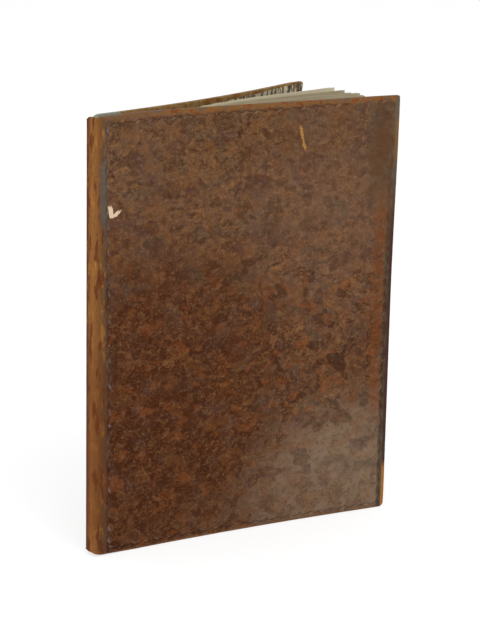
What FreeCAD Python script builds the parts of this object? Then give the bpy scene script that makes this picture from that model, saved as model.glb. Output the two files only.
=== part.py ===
import FreeCAD, Part
import math
import os
import Sketcher
from FreeCAD import Placement, Rotation, Vector

# An antique book bound in calf: two pasteboards laced on with cords, one skin of leather over
# boards and spine, marbled endpapers, and a thin block of sewn leaves that stand fanned apart.
# The book stands on its tail. X runs from the spine to the fore-edge along the middle of the
# leaves, Y from the front cover to the rear cover, and Z from the tail to the head.
# The origin is in the hinge plane, midway between the two joints, at the tail.
# All sizes are in millimetres, and angles in degrees.

SIZES = {
    "cover_height": 205.0,
    "cover_width": 157.0,
    "leather": 0.6,
    "board": 1.5,
    "board_setback": 0.8,
    "pared_leather": 0.25,
    "turn_in_width": 9.0,
    "paper": 0.15,
    "pastedown_margin": 2.5,
    "pastedown_setback": 1.5,
    "front_bow": 2.5,
    "rear_bow": 5.5,
    "front_open": 12.0,
    "rear_open": 10.1,
    "joint_clearance": 0.06,
    "edge_round": 0.4,
    "corner_round": 1.6,
    "spine_depth": 2.6,
    "spine_corner": 1.6,
    "cap_round": 1.2,
    "lining": 0.3,
    "square": 2.2,
    "fore_edge_square": 3.5,
    "gathering": 0.5,
    "gathering_at_edge": 1.6,
    "gutter": 9.0,
    "leaf_bend": 50.0,
    "fan_at_bend": 0.18,
    "front_fan": 18.6,
    "rear_fan": 13.8,
    "closing_gap": 0.1,
    "cord_diameter": 0.9,
    "cord_leg": 0.3,
    "first_cord": 31.0,
    "slip_length": 13.0,
    "slip_width": 4.5,
    "slip_thickness": 0.5,
    "thread": 0.3,
    "kettle_stitch": 12.0,
    "endband_clearance": 0.2,
    "endband_setback": 0.4,
}
GATHERINGS = 6
CORDS = 4

doc = FreeCAD.newDocument("leather_book")
sheet = doc.addObject("Spreadsheet::Sheet", "Sizes")
for row, (alias, number) in enumerate(SIZES.items(), start=1):
    sheet.set(f"A{row}", alias)
    sheet.set(f"B{row}", str(number))
    sheet.setAlias(f"B{row}", alias)
doc.recompute()


class Size:
    """A length or angle that knows its number now and the text that binds it to the sheet."""

    def __init__(self, number, text):
        self.number = number
        self.text = text

    def combine(self, other, sign, work):
        if not isinstance(other, Size):
            other = Size(float(other), f"{float(other)}")
        return Size(work(self.number, other.number), f"({self.text} {sign} {other.text})")

    def __add__(self, other):
        return self.combine(other, "+", lambda a, b: a + b)

    def __sub__(self, other):
        return self.combine(other, "-", lambda a, b: a - b)

    def __mul__(self, other):
        return self.combine(other, "*", lambda a, b: a * b)

    def __truediv__(self, other):
        return self.combine(other, "/", lambda a, b: a / b)

    def __neg__(self):
        return self * -1


def size(alias):
    return Size(float(sheet.get(alias)), f"Sizes.{alias}")


def bind(thing, path, value):
    thing.setExpression(path, value.text)


# Sizes that follow from the driving ones.
ZERO = size("leather") * 0
HEIGHT = size("cover_height")
WIDTH = size("cover_width")
LEATHER = size("leather")
BOARD_BACK = LEATHER + size("board")
TURN_IN_BACK = BOARD_BACK + size("pared_leather")
COVER_THICKNESS = TURN_IN_BACK + size("paper")
BLOCK_HALF = size("gathering") * (GATHERINGS / 2)
HALF_THICKNESS = BLOCK_HALF + size("paper") + size("closing_gap") + COVER_THICKNESS
SPINE_INSIDE = HALF_THICKNESS - LEATHER
BLOCK_BACK = size("spine_depth") - LEATHER - size("lining")
HEAD_OF_LEAVES = HEIGHT - size("square")


def new_body(label):
    body = doc.addObject("PartDesign::Body", "body_" + label)
    body.Label = label
    return body


def new_sketch(body, name, base):
    plane = next(f for f in body.Origin.OriginFeatures if f.Role == "XY_Plane")
    sketch = body.newObject("Sketcher::SketchObject", name)
    sketch.AttachmentSupport = [(plane, "")]
    sketch.MapMode = "FlatFace"
    bind(sketch, "AttachmentOffset.Base.z", base)
    return sketch


def constrain(sketch, kind, *places):
    """Adds a constraint whose last place is a Size, and binds it to the sheet."""
    index = sketch.addConstraint(Sketcher.Constraint(kind, *places[:-1], places[-1].number))
    bind(sketch, f"Constraints[{index}]", places[-1])


def join(sketch, first, second):
    sketch.addConstraint(Sketcher.Constraint("Coincident", *first, *second))


def pad(body, sketch, name, length):
    feature = body.newObject("PartDesign::Pad", name)
    feature.Profile = sketch
    bind(feature, "Length", length)
    doc.recompute()
    return feature


def pocket(body, sketch, name, length):
    """Cuts upwards from the sketch, and makes sure that something was cut."""
    before = body.Shape.Volume
    feature = body.newObject("PartDesign::Pocket", name)
    feature.Profile = sketch
    feature.Reversed = True
    bind(feature, "Length", length)
    doc.recompute()
    if not body.Shape.Volume < before:
        raise RuntimeError(f"{name} cut nothing")
    return feature


def polygon(sketch, corners):
    """A closed outline of straight lines through corners, each corner held at its own place."""
    points = [Vector(x.number, y.number, 0) for x, y in corners]
    count = len(points)
    lines = [
        sketch.addGeometry(Part.LineSegment(points[i], points[(i + 1) % count]))
        for i in range(count)
    ]
    for i, line in enumerate(lines):
        join(sketch, (line, 2), (lines[(i + 1) % count], 1))
        constrain(sketch, "DistanceX", -1, 1, line, 1, corners[i][0])
        constrain(sketch, "DistanceY", -1, 1, line, 1, corners[i][1])
    return lines


class Cover:
    """One cover, lying along +X from its joint at the origin, its outer face bowed inwards.

    inwards is +1 on the front cover, whose leaves lie towards +Y, and -1 on the rear cover."""

    def __init__(self, name, inwards, bow, opening):
        self.name = name
        self.inwards = inwards
        self.bow = bow
        self.radius = (WIDTH * WIDTH / 4 + bow * bow) / (bow * 2)
        self.opening = opening

    def depth_at(self, x, depth):
        """How far the surface at this depth lies from the joint's plane, at x along the cover."""
        aside = x - WIDTH.number / 2
        radius = self.radius.number + depth
        centre = self.bow.number - self.radius.number
        return self.inwards * (centre + math.sqrt(radius * radius - aside * aside))

    def section(self, sketch, near, far, shallow, deep):
        """Closed plan section of the bowed cover between two stations and two depths."""
        centre = Vector(WIDTH.number / 2, self.inwards * (self.bow - self.radius).number, 0)

        def corner(station, depth):
            return Vector(station.number, self.depth_at(station.number, depth.number), 0)

        def arc(depth):
            first, last = (far, near) if self.inwards > 0 else (near, far)
            angles = [
                math.atan2(p.y - centre.y, p.x - centre.x)
                for p in (corner(first, depth), corner(last, depth))
            ]
            circle = Part.Circle(centre, Vector(0, 0, 1), self.radius.number + depth.number)
            return sketch.addGeometry(Part.ArcOfCircle(circle, *angles))

        near_end, far_end = (2, 1) if self.inwards > 0 else (1, 2)
        outer = arc(shallow)
        inner = arc(deep)
        near_line = sketch.addGeometry(Part.LineSegment(corner(near, shallow), corner(near, deep)))
        far_line = sketch.addGeometry(Part.LineSegment(corner(far, shallow), corner(far, deep)))
        join(sketch, (near_line, 1), (outer, near_end))
        join(sketch, (near_line, 2), (inner, near_end))
        join(sketch, (far_line, 1), (outer, far_end))
        join(sketch, (far_line, 2), (inner, far_end))
        join(sketch, (outer, 3), (inner, 3))
        constrain(sketch, "DistanceX", -1, 1, outer, 3, WIDTH / 2)
        constrain(sketch, "DistanceY", -1, 1, outer, 3, (self.bow - self.radius) * self.inwards)
        constrain(sketch, "Radius", outer, self.radius + shallow)
        constrain(sketch, "Radius", inner, self.radius + deep)
        for line, station in ((near_line, near), (far_line, far)):
            sketch.addConstraint(Sketcher.Constraint("Vertical", line))
            constrain(sketch, "DistanceX", -1, 1, line, 1, station)

    def layer(self, body, name, stations, depths, base, top):
        sketch = new_sketch(body, name + "_section", base)
        self.section(sketch, *stations, *depths)
        return pad(body, sketch, name, top - base)

    def recess(self, body, name, stations, depths, base, top):
        sketch = new_sketch(body, name + "_section", base)
        self.section(sketch, *stations, *depths)
        return pocket(body, sketch, name, top - base)

    def open_out(self, piece):
        """Swings a piece of the cover out to the angle at which the book stands."""
        piece.Placement = Placement(
            Vector(0, -self.inwards * HALF_THICKNESS.number, 0),
            Rotation(Vector(0, 0, 1), -self.inwards * self.opening.number),
        )
        bind(piece, "Placement.Base.y", HALF_THICKNESS * -self.inwards)
        bind(piece, "Placement.Rotation.Angle", self.opening)
        piece.Placement.Rotation.Axis = Vector(0, 0, -self.inwards)


FRONT = Cover("front", 1, size("front_bow"), size("front_open"))
REAR = Cover("rear", -1, size("rear_bow"), size("rear_open"))
CORD_PITCH = (HEIGHT - size("first_cord") * 2) / (CORDS - 1)
CORD_HEIGHTS = [size("first_cord") + CORD_PITCH * i for i in range(CORDS)]
FORE_EDGE = WIDTH - size("fore_edge_square")
PAST_THE_END = ZERO - 1
KETTLE_HEIGHTS = {
    "tail": size("square") + size("kettle_stitch"),
    "head": HEAD_OF_LEAVES - size("kettle_stitch"),
}
NEAR = 0.01


def edges_where(body, test):
    """Names of the body's edges whose middle passes the test."""
    return [
        f"Edge{number}" for number, edge in enumerate(body.Shape.Edges, start=1)
        if test(edge.discretize(3)[1])
    ]


def at_head_or_tail(point):
    return min(abs(point.z), abs(point.z - HEIGHT.number)) < NEAR


def fillet(body, name, edges, radius):
    if not edges:
        raise RuntimeError(f"no edges found for {name}")
    base = body.Tip
    feature = body.newObject("PartDesign::Fillet", name)
    feature.Base = (base, edges)
    bind(feature, "Radius", radius)
    doc.recompute()


def make_cover_leather(cover):
    """Skin over one board: its face, the wrapped edges and the turn-ins with their window."""
    body = new_body(f"{cover.name}_cover_leather")
    cover.layer(body, f"{cover.name}_skin", (size("joint_clearance"), WIDTH),
                (ZERO, TURN_IN_BACK), ZERO, HEIGHT)

    def at_corner(point):
        return abs(point.x - WIDTH.number) < NEAR and at_head_or_tail(point)

    def on_outer_rim(point):
        on_face = abs(point.y - cover.depth_at(point.x, 0)) < NEAR
        at_fore_edge = point.x > WIDTH.number - size("corner_round").number
        return on_face and (at_fore_edge or at_head_or_tail(point))

    fillet(body, f"{cover.name}_corners", edges_where(body, at_corner), size("corner_round"))
    fillet(body, f"{cover.name}_rim", edges_where(body, on_outer_rim), size("edge_round"))
    cover.recess(body, f"{cover.name}_board_space", (PAST_THE_END, WIDTH - LEATHER),
                 (LEATHER, BOARD_BACK), LEATHER, HEIGHT - LEATHER)
    cover.recess(body, f"{cover.name}_window", (PAST_THE_END, WIDTH - size("turn_in_width")),
                 (BOARD_BACK, TURN_IN_BACK + 1), size("turn_in_width"),
                 HEIGHT - size("turn_in_width"))
    return body


def make_board(cover):
    """Pasteboard with a shallow bed on its inner face for each laced slip."""
    body = new_body(f"{cover.name}_board")
    cover.layer(body, f"{cover.name}_board_slab", (size("board_setback"), WIDTH - LEATHER),
                (LEATHER, BOARD_BACK), LEATHER, HEIGHT - LEATHER)
    for number, height in enumerate(CORD_HEIGHTS, start=1):
        cover.recess(body, f"{cover.name}_slip_bed_{number}", (PAST_THE_END, size("slip_length")),
                     (BOARD_BACK - size("slip_thickness"), BOARD_BACK),
                     height - size("slip_width") / 2, height + size("slip_width") / 2)
    return body


def make_slip(cover, number):
    """Frayed-out end of a cord, pasted into its bed in the board."""
    height = CORD_HEIGHTS[number - 1]
    body = new_body(f"{cover.name}_cord_slip_{number}")
    cover.layer(body, f"{cover.name}_slip_{number}", (size("joint_clearance"), size("slip_length")),
                (BOARD_BACK - size("slip_thickness"), BOARD_BACK),
                height - size("slip_width") / 2, height + size("slip_width") / 2)
    return body


def make_pastedown(cover):
    """Marbled sheet on the inside of the board, with the infill that levels the turn-ins."""
    body = new_body(f"{cover.name}_pastedown")
    cover.layer(body, f"{cover.name}_infill", (size("pastedown_setback"), WIDTH - size("turn_in_width")),
                (BOARD_BACK, TURN_IN_BACK), size("turn_in_width"), HEIGHT - size("turn_in_width"))
    cover.layer(body, f"{cover.name}_marbled_sheet",
                (size("pastedown_setback"), WIDTH - size("pastedown_margin")),
                (TURN_IN_BACK, COVER_THICKNESS), size("pastedown_margin"),
                HEIGHT - size("pastedown_margin"))
    return body


def back_outline(sketch, half, depth, corner, reach):
    """Plan of the rounded-off flat back, open or closed towards the leaves at x = reach."""
    inner_x = corner - depth
    stops = [
        (reach, -half), (inner_x, -half), (-depth, corner - half),
        (-depth, half - corner), (inner_x, half), (reach, half),
    ]
    points = [Vector(x.number, y.number, 0) for x, y in stops]

    def line(first, last):
        index = sketch.addGeometry(Part.LineSegment(points[first], points[last]))
        for end, stop in ((1, first), (2, last)):
            constrain(sketch, "DistanceX", -1, 1, index, end, stops[stop][0])
            constrain(sketch, "DistanceY", -1, 1, index, end, stops[stop][1])
        return index

    def corner_arc(centre_y, start, end):
        centre = Vector(inner_x.number, centre_y.number, 0)
        circle = Part.Circle(centre, Vector(0, 0, 1), corner.number)
        index = sketch.addGeometry(Part.ArcOfCircle(circle, math.radians(start), math.radians(end)))
        constrain(sketch, "Radius", index, corner)
        return index

    front_side = line(0, 1)
    back = line(2, 3)
    rear_side = line(4, 5)
    face = sketch.addGeometry(Part.LineSegment(points[5], points[0]))
    front_corner = corner_arc(corner - half, 180, 270)
    rear_corner = corner_arc(half - corner, 90, 180)
    join(sketch, (front_corner, 2), (front_side, 2))
    join(sketch, (front_corner, 1), (back, 1))
    join(sketch, (rear_corner, 2), (back, 2))
    join(sketch, (rear_corner, 1), (rear_side, 1))
    join(sketch, (face, 1), (rear_side, 2))
    join(sketch, (face, 2), (front_side, 1))


def make_spine_leather():
    """The skin's middle strip, glued to the back, with a cap turned over at head and tail."""
    body = new_body("spine_leather")
    depth = size("spine_depth")
    corner = size("spine_corner")
    outline = new_sketch(body, "spine_outline", ZERO)
    back_outline(outline, HALF_THICKNESS, depth, corner, ZERO)
    pad(body, outline, "spine_skin", HEIGHT)

    def on_cap_rim(point):
        return point.x < -NEAR and at_head_or_tail(point)

    fillet(body, "cap_rims", edges_where(body, on_cap_rim), size("cap_round"))
    hollow = new_sketch(body, "spine_hollow", LEATHER)
    back_outline(hollow, SPINE_INSIDE, depth - LEATHER, corner - LEATHER, ZERO + 1)
    pocket(body, hollow, "spine_inside", HEIGHT - LEATHER * 2)
    return body


def slab(label, corners, base, top):
    """A straight prism over the outline given by its corners."""
    body = new_body(label)
    sketch = new_sketch(body, label + "_outline", base)
    polygon(sketch, corners)
    pad(body, sketch, label + "_prism", top - base)
    return body


def make_lining():
    half = SPINE_INSIDE - size("spine_corner") + LEATHER
    back = LEATHER - size("spine_depth")
    front = -BLOCK_BACK
    corners = [(back, -half), (front, -half), (front, half), (back, half)]
    return slab("spine_lining", corners, size("square"), HEAD_OF_LEAVES)


def at_bend(root_y, tip_y):
    """Where a leaf lies at the bend, once its place in the gutter and its tip are known."""
    return root_y + (tip_y - root_y) * size("fan_at_bend")


def tip_middle(number):
    """Where the middle of a gathering's fore-edge lies, from the front gathering to the rear one."""
    half = size("gathering_at_edge") / 2
    foremost = half - size("front_fan")
    rearmost = size("rear_fan") - half
    return foremost + (rearmost - foremost) * (number / (GATHERINGS - 1))


def cut_kerf(body, name, depth, height):
    """Saws a groove for a cord or thread across the back of the block."""
    sketch = new_sketch(body, name + "_outline", height - depth / 2)
    back = PAST_THE_END - BLOCK_BACK
    front = depth - BLOCK_BACK
    half = BLOCK_HALF + 1
    polygon(sketch, [(back, -half), (front, -half), (front, half), (back, half)])
    pocket(body, sketch, name, depth)


def make_text_block():
    """Sewn gatherings, solid at the back and standing apart towards the fore-edge."""
    bend = size("leaf_bend")
    corners = [(-BLOCK_BACK, BLOCK_HALF), (-BLOCK_BACK, -BLOCK_HALF)]
    for number in range(GATHERINGS):
        root_y = size("gathering") * number - BLOCK_HALF
        front_tip = tip_middle(number) - size("gathering_at_edge") / 2
        rear_tip = tip_middle(number) + size("gathering_at_edge") / 2
        corners += [
            (size("gutter"), root_y),
            (bend, at_bend(root_y, front_tip)),
            (FORE_EDGE, front_tip),
            (FORE_EDGE, rear_tip),
            (bend, at_bend(root_y + size("gathering"), rear_tip)),
        ]
    corners += [(size("gutter"), BLOCK_HALF)]
    body = slab("text_block", corners, size("square"), HEAD_OF_LEAVES)
    for number, height in enumerate(CORD_HEIGHTS, start=1):
        cut_kerf(body, f"cord_kerf_{number}", size("cord_diameter"), height)
    for place, height in KETTLE_HEIGHTS.items():
        cut_kerf(body, f"{place}_thread_kerf", size("thread"), height)
    return body


def make_free_endpaper(name, side, fan):
    """Marbled leaf against the first or last gathering; side is -1 in front and +1 behind."""
    start = size("pastedown_setback")
    paper = size("paper")
    stations = [
        (start, BLOCK_HALF),
        (size("gutter"), BLOCK_HALF),
        (size("leaf_bend"), at_bend(BLOCK_HALF, fan)),
        (FORE_EDGE, fan),
    ]
    inner = [(x, y * side) for x, y in stations]
    outer = [(x, (y + paper) * side) for x, y in reversed(stations)]
    return slab(f"{name}_free_endpaper", inner + outer, size("square"), HEAD_OF_LEAVES)


def make_cord(number):
    """Sewing cord across the back, bent forward at each side to meet its slips."""
    radius = size("cord_diameter") / 2
    back_x = radius - BLOCK_BACK
    leg_y = HALF_THICKNESS - BOARD_BACK + size("slip_thickness") / 2
    end_x = -size("joint_clearance")
    bend = end_x - size("cord_leg") - back_x
    height = CORD_HEIGHTS[number - 1]
    body = new_body(f"sewing_cord_{number}")
    path = new_sketch(body, f"cord_path_{number}", height)
    stops = [
        (end_x, -leg_y), (back_x + bend, -leg_y), (back_x, bend - leg_y),
        (back_x, leg_y - bend), (back_x + bend, leg_y), (end_x, leg_y),
    ]
    points = [Vector(x.number, y.number, 0) for x, y in stops]
    lines = []
    for first in (0, 2, 4):
        index = path.addGeometry(Part.LineSegment(points[first], points[first + 1]))
        lines.append(index)
        for end, stop in ((1, first), (2, first + 1)):
            constrain(path, "DistanceX", -1, 1, index, end, stops[stop][0])
            constrain(path, "DistanceY", -1, 1, index, end, stops[stop][1])
    for side, turn in ((-1, (180, 270)), (1, (90, 180))):
        centre = Vector((back_x + bend).number, side * (leg_y - bend).number, 0)
        circle = Part.Circle(centre, Vector(0, 0, 1), bend.number)
        arc = path.addGeometry(Part.ArcOfCircle(circle, *[math.radians(a) for a in turn]))
        constrain(path, "Radius", arc, bend)
        if side < 0:
            join(path, (arc, 2), (lines[0], 2))
            join(path, (arc, 1), (lines[1], 1))
        else:
            join(path, (arc, 2), (lines[1], 2))
            join(path, (arc, 1), (lines[2], 1))
    section = body.newObject("Sketcher::SketchObject", f"cord_section_{number}")
    plane = next(f for f in body.Origin.OriginFeatures if f.Role == "YZ_Plane")
    section.AttachmentSupport = [(plane, "")]
    section.MapMode = "FlatFace"
    bind(section, "AttachmentOffset.Base.z", end_x)
    centre = Vector(-leg_y.number, height.number, 0)
    circle = section.addGeometry(Part.Circle(centre, Vector(0, 0, 1), radius.number))
    constrain(section, "DistanceX", -1, 1, circle, 3, -leg_y)
    constrain(section, "DistanceY", -1, 1, circle, 3, height)
    constrain(section, "Radius", circle, radius)
    doc.recompute()
    pipe = body.newObject("PartDesign::AdditivePipe", f"cord_{number}")
    pipe.Profile = section
    pipe.Spine = path
    doc.recompute()
    return body


def make_rod(label, x, half_length, radius, height):
    """A round rod across the block, from its front face to its rear face."""
    rod = doc.addObject("Part::Cylinder", label)
    rod.Label = label
    bind(rod, "Radius", radius)
    bind(rod, "Height", half_length * 2)
    rod.Placement = Placement(Vector(0, 0, 0), Rotation(Vector(1, 0, 0), -90))
    bind(rod, "Placement.Base.x", x)
    bind(rod, "Placement.Base.y", -half_length)
    bind(rod, "Placement.Base.z", height)
    return rod


pieces = []
for cover in (FRONT, REAR):
    on_cover = [make_cover_leather(cover), make_board(cover), make_pastedown(cover)]
    on_cover += [make_slip(cover, number + 1) for number in range(CORDS)]
    for piece in on_cover:
        cover.open_out(piece)
    pieces += on_cover

pieces += [make_spine_leather(), make_lining(), make_text_block()]
pieces += [make_free_endpaper("front", -1, size("front_fan"))]
pieces += [make_free_endpaper("rear", 1, size("rear_fan"))]
pieces += [make_cord(number + 1) for number in range(CORDS)]

thread_radius = size("thread") / 2
for place, height in KETTLE_HEIGHTS.items():
    pieces.append(make_rod(f"{place}_kettle_stitch", thread_radius - BLOCK_BACK, BLOCK_HALF,
                           thread_radius, height))

band_radius = (size("square") - LEATHER - size("endband_clearance")) / 2
for place, height in (("tail", size("square") - band_radius), ("head", HEAD_OF_LEAVES + band_radius)):
    pieces.append(make_rod(f"{place}_endband", size("endband_setback") + band_radius - BLOCK_BACK,
                           BLOCK_HALF, band_radius, height))

doc.recompute()
for thing in doc.Objects:
    if "Invalid" in thing.State or "Error" in thing.State:
        raise RuntimeError(f"{thing.Label} did not build: {thing.State}")
for piece in pieces:
    if piece.Shape.isNull() or not piece.Shape.isValid() or not piece.Shape.Solids:
        raise RuntimeError(f"{piece.Label} has no sound solid")

os.makedirs("parts", exist_ok=True)
for piece in pieces:
    piece.Shape.exportStep(f"parts/{piece.Label}.step")
    print(f"{piece.Label:24s} {piece.Shape.Volume / 1000:8.3f} cm3  {len(piece.Shape.Solids)} solid(s)")
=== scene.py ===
# An antique book bound in mottled calf, standing ajar on its tail.
import math
import random

import bpy
import numpy as np
from mathutils import Matrix, Vector, noise


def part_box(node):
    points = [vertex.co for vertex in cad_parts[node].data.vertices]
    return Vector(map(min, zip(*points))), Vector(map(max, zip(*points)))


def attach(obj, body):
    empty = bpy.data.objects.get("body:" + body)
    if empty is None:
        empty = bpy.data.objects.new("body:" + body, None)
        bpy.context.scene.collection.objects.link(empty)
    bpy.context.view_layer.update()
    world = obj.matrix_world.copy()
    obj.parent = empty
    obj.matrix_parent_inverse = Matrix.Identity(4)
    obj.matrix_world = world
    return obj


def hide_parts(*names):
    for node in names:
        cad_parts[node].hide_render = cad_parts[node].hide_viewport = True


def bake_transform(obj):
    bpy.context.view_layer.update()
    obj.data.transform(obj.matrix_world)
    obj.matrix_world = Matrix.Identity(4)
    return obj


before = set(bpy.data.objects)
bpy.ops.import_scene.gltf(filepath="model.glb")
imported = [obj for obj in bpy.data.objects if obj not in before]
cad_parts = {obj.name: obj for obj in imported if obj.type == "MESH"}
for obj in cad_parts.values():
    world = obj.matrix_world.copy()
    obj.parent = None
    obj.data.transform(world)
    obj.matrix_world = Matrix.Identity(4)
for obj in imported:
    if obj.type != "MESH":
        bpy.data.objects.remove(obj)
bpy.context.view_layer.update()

mm = 0.001

# the book's plan in the frame: x from the spine, y from front to rear, z up
book = {
    "height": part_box("front_cover_leather")[1][2],
    "width": 157 * mm,
    "joint": 4.25 * mm,          # from the middle of the leaves to each hinge line
    "spineDepth": 2.6 * mm,
    "spineCorner": 1.6 * mm,
    "leafReach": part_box("text_block")[1][0],
    "leafFoot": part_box("text_block")[0][2],
}
covers = {
    "front": {"side": -1, "open": math.radians(12.0), "bow": 2.5 * mm},
    "rear": {"side": 1, "open": math.radians(10.1), "bow": 5.5 * mm},
}
cornerArc = book["spineCorner"] * math.pi / 2
spineSide = book["spineDepth"] - book["spineCorner"]
spineHalf = spineSide + cornerArc + book["joint"] - book["spineCorner"]   # joint to middle of the back


# numbers
def smooth(low, high, value):
    t = np.clip((value - low) / (high - low), 0, 1)
    return t * t * (3 - 2 * t)


def lumpy(points, size, seed, octaves=1):
    # smooth noise at each point, about -1 to 1, with lumps of this size
    shift = Vector((seed * 7.3, seed * 3.1, seed * 5.7))
    return np.array([noise.fractal(Vector(p) / size + shift, 0.6, 2.0, octaves) for p in points])


# pieces
def deselectAll():
    if bpy.context.object and bpy.context.object.mode != "OBJECT":
        bpy.ops.object.mode_set(mode="OBJECT")
    bpy.ops.object.select_all(action="DESELECT")


def pick(piece):
    deselectAll()
    piece.select_set(True)
    bpy.context.view_layer.objects.active = piece


def readPoints(piece):
    points = np.empty(len(piece.data.vertices) * 3)
    piece.data.vertices.foreach_get("co", points)
    return points.reshape(-1, 3)


def writePoints(piece, points):
    piece.data.vertices.foreach_set("co", np.ascontiguousarray(points, float).ravel())
    piece.data.update()


def keep(piece, name, values):
    # stores a number or a place at each point, for the materials to read
    flat = np.ascontiguousarray(values, np.float32)
    if flat.ndim == 2:
        piece.data.attributes.new(name, "FLOAT_VECTOR", "POINT").data.foreach_set("vector", flat.ravel())
    else:
        piece.data.attributes.new(name, "FLOAT", "POINT").data.foreach_set("value", flat)


def applyModifier(piece, kind, **settings):
    modifier = piece.modifiers.new(kind.title(), kind)
    for name, value in settings.items():
        setattr(modifier, name, value)
    pick(piece)
    bpy.ops.object.modifier_apply(modifier=modifier.name)


def smoothFaces(piece, degrees=40):
    pick(piece)
    bpy.ops.object.shade_smooth_by_angle(angle=math.radians(degrees))


def addSheet(name, columns, rows, low, high):
    # flat grid from low to high in x and y, to be bent into place
    deselectAll()
    bpy.ops.mesh.primitive_grid_add(x_subdivisions=columns, y_subdivisions=rows, size=1)
    piece = bpy.context.object
    piece.name = name
    piece.data.name = name
    points = readPoints(piece)
    for axis in (0, 1):
        points[:, axis] = low[axis] + (points[:, axis] + 0.5) * (high[axis] - low[axis])
    writePoints(piece, points)
    return piece


# a cover's skin is laid out flat: s from the joint to the fore-edge and below 0 round the
# spine, z up, depth inwards from the outer face
def sag(cover, s):
    radius = (book["width"] ** 2 / 4 + cover["bow"] ** 2) / (2 * cover["bow"])
    aside = s - book["width"] / 2
    return cover["bow"] - radius + np.sqrt(radius * radius - aside * aside)


def placeOnCover(cover, s, depth, z):
    side = cover["side"]
    angle = side * cover["open"]
    y = -side * (sag(cover, np.clip(s, 0, book["width"])) + depth)
    onBoard = np.stack([s * math.cos(angle) - y * math.sin(angle),
                        side * book["joint"] + s * math.sin(angle) + y * math.cos(angle)], -1)
    back = -s
    turn = np.clip((back - spineSide) / book["spineCorner"], 0, math.pi / 2)
    reach = book["spineCorner"] - depth
    past = np.maximum(back - spineSide - cornerArc, 0)
    spineX = -np.minimum(back, spineSide) - reach * np.sin(turn)
    spineY = book["joint"] - book["spineCorner"] + reach * np.cos(turn) - past
    onSpine = np.stack([spineX, side * spineY], -1)
    return np.column_stack([np.where((s < 0)[:, None], onSpine, onBoard), z])


# wavy roll that frames each cover
roll = {
    "fromJoint": 3.0 * mm,
    "jointDrift": 1.65 * mm,     # further from the joint below the middle of the cover
    "fromFore": 2.9 * mm,
    "fromHead": 3.75 * mm,
    "fromTail": 2.7 * mm,
    "pitch": 6.2 * mm,
    "swing": 0.42 * mm,
    "width": 0.34 * mm,
    "depth": 0.17 * mm,
}


def rollLines(s, z):
    # for the four lines of the roll: distance outwards from the line, and place in its wave
    foot, head = roll["fromTail"], book["height"] - roll["fromHead"]
    head = head + 0.55 * mm * smooth(10 * mm, 70 * mm, s) + 1.3 * mm * smooth(85 * mm, book["width"], s)
    near = roll["fromJoint"] + roll["jointDrift"] * smooth(190 * mm, 70 * mm, z)
    far = book["width"] - roll["fromFore"]
    lines = []
    for across, along, place, sign, low, high in (
            (z, s, foot, -1, near, far), (z, s, head, 1, near, far),
            (s, z, near, -1, 0, book["height"]), (s, z, far, 1, foot, head)):
        phase = 2 * math.pi * along / roll["pitch"]
        wave = roll["swing"] * (np.sin(phase) + 0.35 * np.sin(2 * phase + 0.6))
        inside = (along > low) & (along < high)
        lines.append((np.where(inside, (across - place) * sign - wave, 1.0), phase))
    return lines


skin = {
    "leather": 0.6 * mm,
    "thickness": 2.35 * mm,
    "proud": {"front": 0.4 * mm, "rear": -1.2 * mm},      # worn leather past the fore-edge
    "overlap": 0.4 * mm,         # the two skins dip under each other along the back
    "turnIn": 9.0 * mm,
    "corners": {"front": (1.0 * mm, 2.4 * mm), "rear": (2.0 * mm, 2.0 * mm)},      # head and tail
    "columns": {"spine": 32, "roll": 16, "field": 160, "rim": 6},
    "rows": {"roll": 16, "field": 220, "rim": 6},
    "rollZone": (1.4 * mm, 5.5 * mm),
    "pinch": (0.35 * mm, 0.5 * mm),      # rubbed hollow of the rear corner of the spine, head and tail
    "raised": 0.9 * mm,          # the front cover's head stands this much higher, and so much
    "raisedAtFore": 0.25 * mm,   # more at its fore-edge
    "cockling": 0.14 * mm,
    "lumps": 0.03 * mm,
    "scuffing": 0.10 * mm,
    "tailCornerIn": 0.3 * mm,
    # edge profile as (inset, depth) in mm, then how far the turn-in runs over the board
    "rim": [(0.32, 0.04), (0.12, 0.16), (0.0, 0.42), (0.0, 1.0), (0.0, 1.8), (0.08, 2.15), (0.32, 2.35)],
    "turnInSteps": [1.2, 2.0, 2.8, 3.6, 4.6, 5.6, 6.6, 7.8, 9.0],
    "underSteps": [0.12, 0.26, 0.42, 0.58, 0.74, 0.9],
}


def crowd(values, counts, ends):
    # spreads evenly spaced values so that each stretch between ends gets its count of cells
    shares = np.concatenate([[0], np.cumsum(counts)]) / sum(counts)
    return np.interp(values, shares, ends)


def extrudeRim(piece, centre, half, rings):
    # carries the sheet's rim on through rings of (inset, depth), then closes it in the middle
    bpy.ops.object.mode_set(mode="EDIT")
    bpy.ops.mesh.select_mode(type="EDGE")
    bpy.ops.mesh.select_all(action="DESELECT")
    bpy.ops.mesh.select_non_manifold(extend=False, use_wire=False, use_boundary=True,
                                     use_multi_face=False, use_non_contiguous=False, use_verts=False)
    inset, depth = rings[0]
    for newInset, newDepth in rings[1:]:
        bpy.ops.mesh.extrude_region_move(TRANSFORM_OT_translate={"value": (0, 0, newDepth - depth)})
        grow = [(half[axis] - newInset) / (half[axis] - inset) for axis in (0, 1)]
        bpy.ops.transform.resize(value=(grow[0], grow[1], 1), center_override=(centre[0], centre[1], 0))
        inset, depth = newInset, newDepth
    bpy.ops.mesh.merge(type="CENTER")
    bpy.ops.mesh.select_all(action="SELECT")
    bpy.ops.mesh.normals_make_consistent(inside=False)
    bpy.ops.object.mode_set(mode="OBJECT")


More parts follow.
